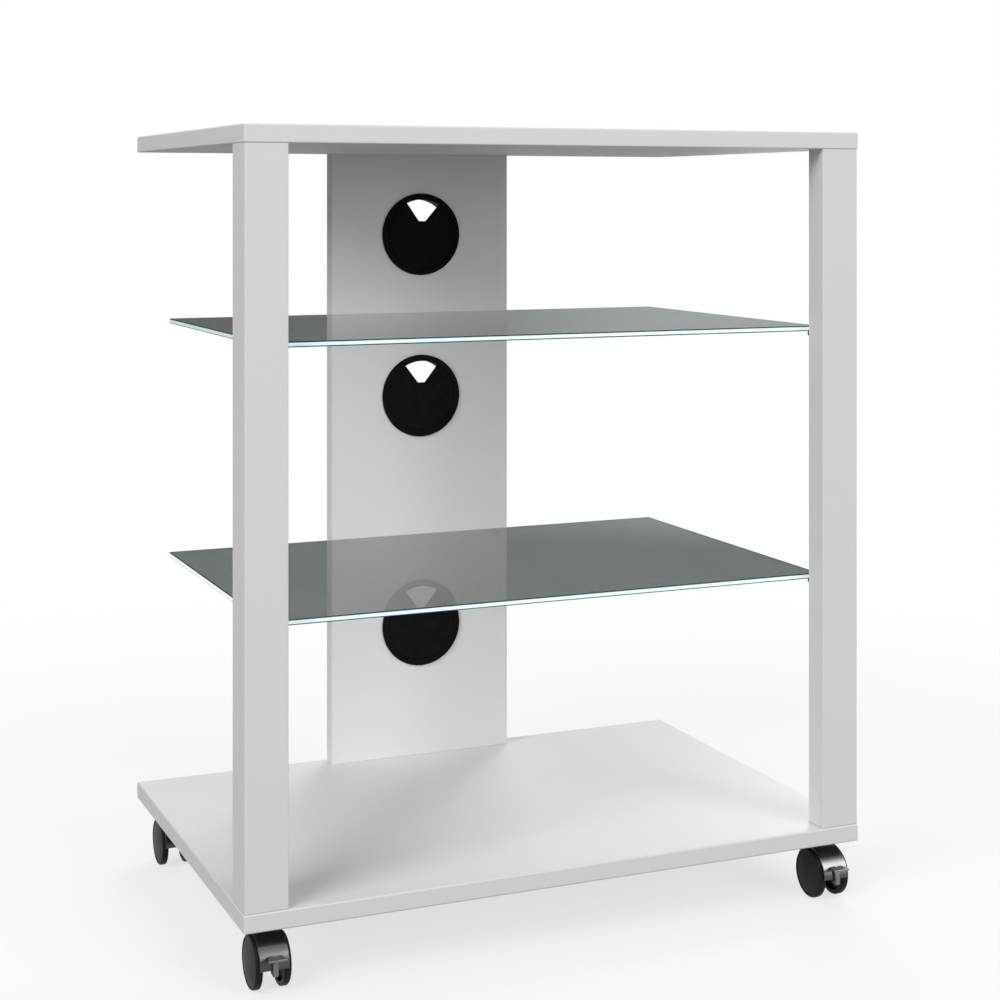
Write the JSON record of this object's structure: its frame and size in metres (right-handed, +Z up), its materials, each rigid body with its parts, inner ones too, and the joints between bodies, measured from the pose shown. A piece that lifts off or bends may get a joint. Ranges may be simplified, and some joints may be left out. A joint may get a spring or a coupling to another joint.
{
  "type": "tv stand",
  "caption": "Rolling open media stand: laminated top and base, front posts, a narrow rear panel with cable outlets, glass shelves and hooded twin-wheel casters with brakes at the front.",
  "frame": {"origin": "on the floor under the middle of the whole stand's box, which reaches from the front brake levers' tabs to the boards' rear edge", "axes": "+X to the right seen from the front, +Y to the rear, +Z up; the posts are at the front (-Y) and the narrow panel at the rear (+Y)"},
  "size_m": [0.6, 0.4124, 0.7265],
  "materials": {
    "white_laminate": "white melamine laminate, fine satin grain",
    "float_glass": "dark grey-green see-through float glass, ground arrises",
    "dark_steel": "burnished",
    "clear_vinyl": "clear",
    "beech": "raw beech",
    "zinc_steel": "bright zinc plated",
    "die_cast_zinc": "die cast",
    "black_grommet": "satin black",
    "black_nylon": "gloss black",
    "black_wheel": "satin black"
  },
  "bodies": {
    "root": {"top_board": "white_laminate", "base_board": "white_laminate", "post_left": "white_laminate", "post_right": "white_laminate", "rear_panel": "white_laminate", "dowels": "beech", "cam_bolts": "zinc_steel", "cam_housings": "die_cast_zinc", "caster_inserts": "zinc_steel", "caster_stems": "zinc_steel", "glass_shelf_upper": "float_glass", "shelf_pins_upper": "dark_steel", "pin_sleeves_upper": "clear_vinyl", "glass_shelf_lower": "float_glass", "shelf_pins_lower": "dark_steel", "pin_sleeves_lower": "clear_vinyl", "grommet_sleeve_upper": "black_grommet", "grommet_sleeve_middle": "black_grommet", "grommet_sleeve_lower": "black_grommet"},
    "grommet_cap_upper": {"grommet_cap_upper": "black_grommet"},
    "grommet_cap_middle": {"grommet_cap_middle": "black_grommet"},
    "grommet_cap_lower": {"grommet_cap_lower": "black_grommet"},
    "swivel_front_left": {"caster_body_front_left": "black_nylon", "stem_clip_front_left": "zinc_steel", "axle_front_left": "zinc_steel", "lever_pin_front_left": "zinc_steel"},
    "wheel_outer_front_left": {"wheel_outer_front_left": "black_wheel"},
    "wheel_inner_front_left": {"wheel_inner_front_left": "black_wheel"},
    "swivel_front_right": {"caster_body_front_right": "black_nylon", "stem_clip_front_right": "zinc_steel", "axle_front_right": "zinc_steel", "lever_pin_front_right": "zinc_steel"},
    "wheel_outer_front_right": {"wheel_outer_front_right": "black_wheel"},
    "wheel_inner_front_right": {"wheel_inner_front_right": "black_wheel"},
    "swivel_rear_left": {"caster_body_rear_left": "black_nylon", "stem_clip_rear_left": "zinc_steel", "axle_rear_left": "zinc_steel"},
    "wheel_outer_rear_left": {"wheel_outer_rear_left": "black_wheel"},
    "wheel_inner_rear_left": {"wheel_inner_rear_left": "black_wheel"},
    "swivel_rear_right": {"caster_body_rear_right": "black_nylon", "stem_clip_rear_right": "zinc_steel", "axle_rear_right": "zinc_steel"},
    "wheel_outer_rear_right": {"wheel_outer_rear_right": "black_wheel"},
    "wheel_inner_rear_right": {"wheel_inner_rear_right": "black_wheel"},
    "brake_lever_front_left": {"brake_lever_front_left": "black_nylon"},
    "brake_lever_front_right": {"brake_lever_front_right": "black_nylon"}
  },
  "joints": [
    {"name": "swivel_turn_front_left", "type": "hinge", "parent": "root", "child": "swivel_front_left", "pos_m": [-0.274, -0.15975, 0.0524], "axis": [0, 0, 1], "continuous": true},
    {"name": "wheel_roll_outer_front_left", "type": "hinge", "parent": "swivel_front_left", "child": "wheel_outer_front_left", "pos_m": [-0.274, -0.17125, 0.0225], "axis": [1, 0, 0], "continuous": true},
    {"name": "wheel_roll_inner_front_left", "type": "hinge", "parent": "swivel_front_left", "child": "wheel_inner_front_left", "pos_m": [-0.274, -0.17125, 0.0225], "axis": [1, 0, 0], "continuous": true},
    {"name": "swivel_turn_front_right", "type": "hinge", "parent": "root", "child": "swivel_front_right", "pos_m": [0.274, -0.15975, 0.0524], "axis": [0, 0, 1], "continuous": true},
    {"name": "wheel_roll_outer_front_right", "type": "hinge", "parent": "swivel_front_right", "child": "wheel_outer_front_right", "pos_m": [0.274, -0.17125, 0.0225], "axis": [1, 0, 0], "continuous": true},
    {"name": "wheel_roll_inner_front_right", "type": "hinge", "parent": "swivel_front_right", "child": "wheel_inner_front_right", "pos_m": [0.274, -0.17125, 0.0225], "axis": [1, 0, 0], "continuous": true},
    {"name": "swivel_turn_rear_left", "type": "hinge", "parent": "root", "child": "swivel_rear_left", "pos_m": [-0.274, 0.17225, 0.0524], "axis": [0, 0, 1], "continuous": true},
    {"name": "wheel_roll_outer_rear_left", "type": "hinge", "parent": "swivel_rear_left", "child": "wheel_outer_rear_left", "pos_m": [-0.274, 0.16075, 0.0225], "axis": [1, 0, 0], "continuous": true},
    {"name": "wheel_roll_inner_rear_left", "type": "hinge", "parent": "swivel_rear_left", "child": "wheel_inner_rear_left", "pos_m": [-0.274, 0.16075, 0.0225], "axis": [1, 0, 0], "continuous": true},
    {"name": "swivel_turn_rear_right", "type": "hinge", "parent": "root", "child": "swivel_rear_right", "pos_m": [0.274, 0.17225, 0.0524], "axis": [0, 0, 1], "continuous": true},
    {"name": "wheel_roll_outer_rear_right", "type": "hinge", "parent": "swivel_rear_right", "child": "wheel_outer_rear_right", "pos_m": [0.274, 0.16075, 0.0225], "axis": [1, 0, 0], "continuous": true},
    {"name": "wheel_roll_inner_rear_right", "type": "hinge", "parent": "swivel_rear_right", "child": "wheel_inner_rear_right", "pos_m": [0.274, 0.16075, 0.0225], "axis": [1, 0, 0], "continuous": true},
    {"name": "brake_press_front_left", "type": "hinge", "parent": "swivel_front_left", "child": "brake_lever_front_left", "pos_m": [-0.274, -0.18675, 0.0255], "axis": [1, 0, 0], "range_deg": [0, 8]},
    {"name": "brake_press_front_right", "type": "hinge", "parent": "swivel_front_right", "child": "brake_lever_front_right", "pos_m": [0.274, -0.18675, 0.0255], "axis": [1, 0, 0], "range_deg": [0, 8]},
    {"name": "cap_turn_upper", "type": "hinge", "parent": "root", "child": "grommet_cap_upper", "pos_m": [0, 0.18375, 0.6255], "axis": [0, 1, 0], "continuous": true},
    {"name": "cap_turn_middle", "type": "hinge", "parent": "root", "child": "grommet_cap_middle", "pos_m": [0, 0.18375, 0.4535], "axis": [0, 1, 0], "continuous": true},
    {"name": "cap_turn_lower", "type": "hinge", "parent": "root", "child": "grommet_cap_lower", "pos_m": [0, 0.18375, 0.2095], "axis": [0, 1, 0], "continuous": true}
  ]
}
